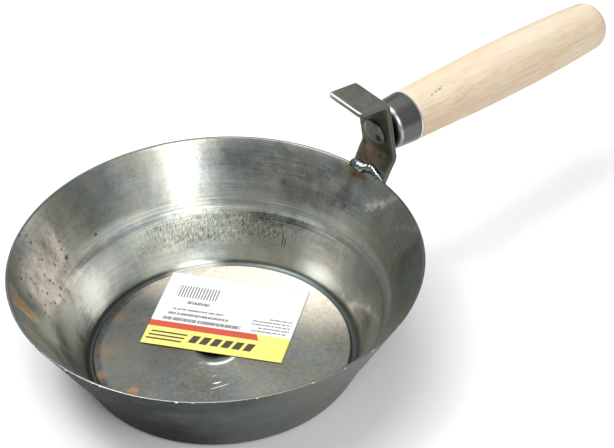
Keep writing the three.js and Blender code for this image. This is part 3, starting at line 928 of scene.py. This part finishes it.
def grip_wood():
    s = Shade("grip_wood")
    away, length, height = s.on_handle()
    side = s.dot(away, (0, 1, 0))
    sway = s.times(s.cloud(0.02, 2, 0.5, 1.0), 5.0)
    swayed = s.add(side, sway)

    def grain(stretch, scale, detail, seed):
        """Noise drawn out along the grip."""
        return s.noise(s.join(s.times(length, 1 / stretch), swayed, height), scale, detail, 0.6, seed)

    figure = grain(14, 0.16, 3, 2.0)
    fibre = grain(22, 1.3, 3, 3.0)
    pores = grain(9, 2.6, 2, 4.0)
    cloud = s.cloud(0.05, 3, 0.6, 5.0)
    colour = s.mix(s.remap(figure, 0.34, 0.66), (0.665, 0.550, 0.395), (0.575, 0.440, 0.285))
    # Grain and pores; then a painted highlight, palest on top, and painted shade, darker below.
    for value, low, high, strength, tint in (
        (cloud, 0.46, 0.66, 0.70, (0.62, 0.450, 0.325)),
        (fibre, 0.50, 0.70, 0.60, (0.47, 0.330, 0.190)),
        (fibre, 0.50, 0.26, 0.30, (0.79, 0.69, 0.52)),
        (pores, 0.58, 0.72, 0.50, (0.47, 0.32, 0.19)),
        (height, 7.0, 14.0, 0.28, (0.84, 0.77, 0.64)),
        (height, 4.0, -12.0, 0.38, (0.50, 0.375, 0.245)),
    ):
        colour = s.paint(colour, tint, s.remap(value, low, high), strength)
    # A honey-coloured streak of heartwood runs along the upper +Y side.
    turn = s.math("ARCTAN2", height, side)
    streak = s.band(s.plus(s.math("DEGREES", turn), sway, 3.0), 74, 88, 7)
    streak = s.times(streak, s.band(length, 22, 82, 14))
    colour = s.paint(colour, (0.80, 0.58, 0.28), streak, 0.55)
    squeezed = s.join(s.times(length, SPECK_STRETCH), side, height)
    specks = 0.0
    for at_length, at_side, at_height, radius in GRIP_SPECKS:
        centre = (at_length * SPECK_STRETCH, at_side, at_height)
        specks = s.larger(specks, s.spot(squeezed, centre, radius, 0.8))
    colour = s.paint(colour, (0.20, 0.15, 0.09), specks, 0.75)
    colour = s.mix(s.remap(length, 15.6, 14.9), colour, (0.16, 0.12, 0.09))
    s.set(base_color=colour, roughness=s.plus(0.50, fibre, 0.16))
    return s.set(normal=s.bump(s.plus(s.times(fibre, 0.6), pores, 0.5), 0.06))


def ferrule_steel():
    s = Shade("ferrule_steel")
    away, length, _ = s.on_handle()
    turned = s.noise(s.join(s.times(length, 2.2), 0.0, 0.0), 1.0, 2, 0.6, 1.0)
    blotch = s.cloud(0.13, 3, 0.6, 2.0)
    grain = s.cloud(1.1, 3, 0.6, 3.0)
    colour = s.mix(s.remap(blotch, 0.35, 0.68), (0.188, 0.205, 0.198), (0.218, 0.214, 0.190))
    colour = s.brighten(colour, s.add(0.86, s.plus(s.times(turned, 0.14), grain, 0.10)))
    # Painted shade darkens the underside.
    under = s.remap(s.dot(away, (0.0, -0.45, -0.89)), -4.0, 6.0)
    colour = s.paint(colour, (0.060, 0.063, 0.058), under, 0.62)
    # Painted highlights: a bright line at the rear rim and a paler band over the front rounding.
    colour = s.paint(colour, (0.92, 0.94, 0.94), s.remap(length, 14.0, 14.5), 0.95)
    colour = s.paint(colour, (0.62, 0.65, 0.65), s.band(length, 0.6, 2.4, 0.5), 0.45)
    dust = s.times(s.remap(s.cloud(0.5, 3, 0.6, 4.0), 0.63, 0.75), 0.4)
    colour = s.mix(dust, colour, (0.12, 0.10, 0.075))
    s.set(base_color=colour, metallic=1.0, roughness=s.plus(0.25, blotch, 0.14))
    return s.set(normal=s.bump(s.add(s.times(turned, 0.6), s.plus(blotch, grain, 0.15)), 0.03))


def lug_steel():
    s = Shade("lug_steel")
    x, y, z = s.split(s.place)
    blotch = s.cloud(0.10, 4, 0.62, 1.0)
    mottle = s.cloud(0.36, 4, 0.65, 2.0)
    grain = s.cloud(1.3, 3, 0.6, 3.0)
    colour = s.mix(s.remap(blotch, 0.36, 0.64), (0.280, 0.280, 0.225), (0.220, 0.235, 0.200))
    gain = s.add(0.50, s.plus(s.times(mottle, 0.78), grain, 0.24))
    colour = s.brighten(colour, gain)
    # The face towards the bowl is browned, and rusty between the tang's head and the weld.
    depth = s.plus(s.times(x, 0.985), z, 0.174)
    face = s.times(s.remap(depth, 119.9, 118.9), s.remap(z, 104.0, 100.0))
    face = s.times(face, s.remap(z, 59.0, 62.0))
    colour = s.paint(colour, (0.056, 0.050, 0.035), face, s.remap(mottle, 0.25, 0.70, 0.92, 0.66))
    wobble = s.swing(blotch, 10.0)
    rust = s.times(s.band(s.add(z, wobble), 61.0, 73.0, 3.5), s.remap(s.add(y, wobble), -7.0, 2.0))
    rust = s.times(rust, s.remap(mottle, 0.30, 0.60, 0.25, 1.0))
    rust = s.times(rust, face)
    colour = s.paint(colour, (0.135, 0.075, 0.036), rust, 0.80)
    ragged = s.vector("ADD", s.place, s.vector("SCALE", s.join(mottle, blotch, grain), scale=3.0))
    ash = s.times(s.spot(ragged, (105.5, 8.0, 70.5), 4.5, 0.9), 0.6)
    colour = s.mix(ash, colour, (0.22, 0.23, 0.23))
    # The face is darker near its top, under the tongue.
    dark_under_tongue = s.times(s.spot(s.place, (100.0, -10.0, 92.0), 14.0, 0.9), 0.6)
    colour = s.mix(dark_under_tongue, colour, (0.025, 0.025, 0.020))
    # Painted shade keeps its -Y side face dull and brown.
    leant = s.times(s.larger(s.add(z, -LUG_KNEE[1]), 0.0), math.tan(LUG_TWIST))
    edge = LUG_SIDE - LUG_WIDTH / 2
    cut = s.remap(s.add(y, leant), edge + 0.5, edge + 0.1)
    colour = s.paint(colour, (0.060, 0.056, 0.044), cut, 0.80)
    # The mesh carries its share of wear and painted highlight as a point attribute.
    bevel = s.node("Attribute", "Fac", attribute_name="worn")
    colour = s.paint(colour, (0.72, 0.72, 0.67), bevel, 0.8)
    s.set(base_color=colour, metallic=s.blend(rust, 1.0, 0.3))
    s.set(roughness=s.plus(s.blend(bevel, 0.38, 0.24), mottle, 0.14))
    return s.set(normal=s.bump(s.add(s.times(mottle, 0.6), s.plus(blotch, grain, 0.3)), 0.10))


def tang_steel():
    s = Shade("tang_steel")
    blotch = s.cloud(0.22, 3, 0.6, 1.0)
    grain = s.cloud(1.1, 4, 0.65, 2.0)
    colour = s.mix(s.remap(blotch, 0.35, 0.65), (0.145, 0.175, 0.167), (0.180, 0.208, 0.200))
    colour = s.brighten(colour, s.plus(0.45, grain, 1.15))
    ragged = s.vector("ADD", s.place, s.vector("SCALE", s.join(grain, blotch, grain), scale=2.0))
    pit = s.spot(ragged, (103.8, -3.0, 80.5), 3.2, 0.7)
    colour = s.mix(pit, colour, (0.02, 0.022, 0.022))
    s.set(base_color=colour, metallic=1.0, roughness=s.plus(0.36, grain, 0.14))
    return s.set(normal=s.bump(s.plus(grain, blotch, 0.8), 0.12))


def weld_steel():
    s = Shade("weld_steel")
    blotch = s.cloud(0.26, 2, 0.5, 1.0)
    grain = s.cloud(1.2, 2, 0.5, 2.0)
    colour = s.mix(s.remap(blotch, 0.42, 0.62), (0.285, 0.325, 0.340), (0.065, 0.088, 0.095))
    s.set(base_color=s.brighten(colour, s.plus(0.9, grain, 0.2)), metallic=1.0)
    s.set(roughness=s.plus(0.17, grain, 0.06))
    return s.set(normal=s.bump(s.plus(blotch, grain, 0.1), 0.03))


# Bars on the label, in its own millimetres: left, right, lower and upper edge.
LABEL_LINES = (
    (-31, 9.5, -8.6, -6.2),
    (-29.5, 2, -4.2, -2.4),
    (-28, -1.5, -0.4, 0.9),
    (-22, -10.5, 4.9, 7.1),
    (15, 33.5, -8.2, -7.2),
    (18, 34, -5.8, -4.8),
    (14, 34, -3.4, -2.4),
    (14, 34, -1.0, 0.0),
    (22, 34, 1.4, 2.4),
)


def label_print():
    s = Shade("label_print")
    u, v, _ = s.split(s.node("TexCoord", "UV"))
    u = s.swing(u, SHEET_TO_UV)
    v = s.swing(v, SHEET_TO_UV)

    def box(left, right, low, high, soft=0.12, shear=0.0):
        """1 inside a box on the label, whose sides may lean."""
        across = s.plus(u, s.add(v, -low), shear)
        return s.times(s.band(across, left, right, soft), s.band(v, low, high, soft))

    def stripes(value, spacing, low, high):
        return s.remap(s.math("SINE", s.times(value, spacing)), low, high)

    fibres = s.cloud(1.1, 3, 0.6, 1.0)
    colour = s.brighten((0.72, 0.72, 0.717), s.plus(0.96, fibres, 0.07))
    yellow = s.times(s.remap(v, -9.9, -10.2), s.remap(u, 19.0, 19.4))
    yellow = s.larger(s.remap(v, -14.3, -14.6), yellow)
    colour = s.mix(yellow, colour, (0.80, 0.665, 0.165))
    red = box(-40.0, 20.8, -14.5, -10.0, 0.12, 0.45)
    colour = s.mix(red, colour, (0.50, 0.062, 0.030))
    # Grey and dark bars stand where printing would be. They spell nothing.
    grey = 0.0
    for line in LABEL_LINES:
        grey = s.larger(grey, box(*line, 0.2))
    row = s.math("ROUND", s.times(v, 0.4))
    gaps = s.remap(s.noise(s.join(s.times(u, 1.1), row, 0.0), 1.0, 0, 0.5, 3.0), 0.36, 0.44)
    colour = s.paint(colour, (0.09, 0.09, 0.10), s.times(grey, gaps), 0.80)
    bars = s.times(stripes(u, 4.2, -0.1, 0.5), box(-29.5, -8.0, 9.6, 18.6))
    colour = s.paint(colour, (0.06, 0.06, 0.07), bars, 0.88)
    upright = stripes(s.plus(u, v, -0.3), 1.12, -0.72, -0.5)
    level = stripes(s.add(v, 0.2), 2.35, 0.1, 0.35)
    ink = s.times(box(-13.5, 20.5, -23.2, -17.6, 0.15, -0.3), upright)
    ink = s.larger(ink, s.times(box(-35.0, -16.5, -24.4, -17.0, 0.15, -0.3), level))
    colour = s.paint(colour, (0.022, 0.022, 0.016), ink, 0.97)
    s.set(base_color=colour, roughness=0.62)
    return s.set(normal=s.bump(fibres, 0.02))


weld = weld_steel()
DRESSED = (
    (bowl_piece(), bowl_inside(), bowl_outside()),
    (lug_piece(), lug_steel()),
    (rim_bead_piece(), weld),
    (foot_bead_piece(), weld),
    (tang_piece(), tang_steel()),
    (ferrule_piece(), ferrule_steel()),
    (grip_piece(), grip_wood()),
    (label_piece(), label_print()),
)
for piece, *materials in DRESSED:
    for material in materials:
        piece.data.materials.append(material)


# ---- floor, light and camera, in metres ----

FLOOR_HALF = 3.0
FLOOR_HEIGHT = -0.0002
FLOOR_COLOUR = (0.93, 0.93, 0.93)
SKY_COLOUR = (0.9, 0.95, 1.0)
SKY_STRENGTH = 0.32
LIT_POINT = Vector((0.04, 0, 0.03))
# Name, heading and height in degrees, distance, width and length, and power.
LIGHTS = (
    ("overhead", 100, 78, 1.6, (1.4, 1.4), 18),
    ("key", 247, 40, 1.3, (0.46, 0.72), 7.5),
    ("wrap", 274, 32, 1.6, (0.8, 0.9), 1.6),
    ("low", 345, 13, 1.4, (0.5, 0.35), 0.9),
    ("high", 140, 63, 1.5, (0.55, 0.38), 8.0),
    ("back", 68, 52, 1.5, (0.9, 0.7), 2.1),
)
CAMERA_PLACE = (-0.48736, -0.65342, 0.71888)
CAMERA_HEADING = 50.161
CAMERA_TILT = -38.25
CAMERA_ROLL = math.radians(-2.518)
CAMERA_LENS = 128.99


def direction(azimuth, elevation):
    """A unit vector from its heading and height in degrees."""
    az, el = math.radians(azimuth), math.radians(elevation)
    return Vector((math.cos(az) * math.cos(el), math.sin(az) * math.cos(el), math.sin(el)))


def floor_piece():
    mesh = bpy.data.meshes.new("studio_floor")
    signs = ((-1, -1), (1, -1), (1, 1), (-1, 1))
    corners = [(FLOOR_HALF * x, FLOOR_HALF * y, FLOOR_HEIGHT) for x, y in signs]
    mesh.from_pydata(corners, [], [(0, 1, 2, 3)])
    floor = linked("studio_floor", mesh)
    paint = Shade("studio_floor_paint")
    mesh.materials.append(paint.set(base_color=FLOOR_COLOUR, roughness=0.9))


def area_light(name, azimuth, elevation, distance, size, power):
    data = bpy.data.lights.new(name, "AREA")
    data.shape = "RECTANGLE"
    data.size, data.size_y = size
    data.energy = power
    light = linked(name, data)
    away = direction(azimuth, elevation)
    light.location = LIT_POINT + away * distance
    light.rotation_euler = away.to_track_quat("Z", "Y").to_euler()


def camera():
    data = bpy.data.cameras.new("camera")
    data.sensor_width = 36
    data.lens = CAMERA_LENS
    data.clip_end = 20
    item = linked("camera", data)
    forward = direction(CAMERA_HEADING, CAMERA_TILT)
    right = forward.cross(Vector((0, 0, 1))).normalized()
    up = right.cross(forward)
    facing = Matrix((right, up, -forward)).transposed().to_4x4()
    roll = Matrix.Rotation(CAMERA_ROLL, 4, "Z")
    item.matrix_world = Matrix.Translation(CAMERA_PLACE) @ facing @ roll
    bpy.context.scene.camera = item


floor_piece()
camera()

scene = bpy.context.scene
scene.view_settings.view_transform = "Standard"
world = bpy.data.worlds.new("studio")
scene.world = world
world.use_nodes = True
sky = world.node_tree.nodes["Background"]
sky.inputs["Color"].default_value = (*SKY_COLOUR, 1)
sky.inputs["Strength"].default_value = SKY_STRENGTH
for light in LIGHTS:
    area_light(*light)
